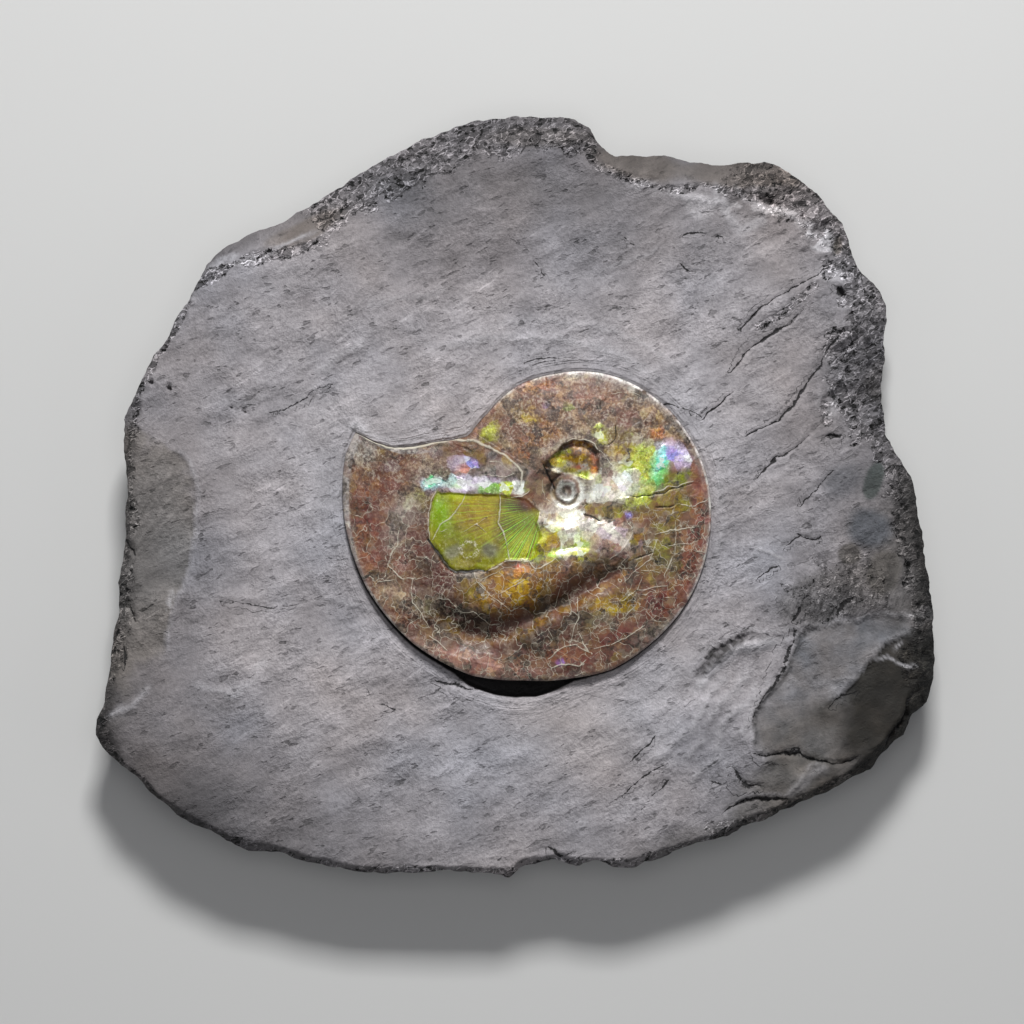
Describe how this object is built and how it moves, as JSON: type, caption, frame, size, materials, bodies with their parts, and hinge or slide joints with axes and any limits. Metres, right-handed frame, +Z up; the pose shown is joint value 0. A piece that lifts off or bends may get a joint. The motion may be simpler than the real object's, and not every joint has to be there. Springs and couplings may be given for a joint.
{
  "type": "ammolite specimen",
  "caption": "Ammonite fossil that keeps its iridescent, cracked shell, lying half sunk in an irregular flat slab of grey shale with broken edges.",
  "frame": {"origin": "on the floor, below the middle of the slab's bounding box", "axes": "+Z up, out of the slab's fossil side; +X along the slab's length, towards the right as the fossil is looked at; +Y towards the top of that view"},
  "size_m": [0.677, 0.614, 0.0819],
  "materials": {
    "shale": "matt grey shale, flaky, with broken edges",
    "shell": "glossy cracked nacre, red-brown with green, gold and violet iridescence"
  },
  "bodies": {
    "root": {"shale_slab": "shale", "ammonite_shell": "shell"}
  },
  "joints": []
}
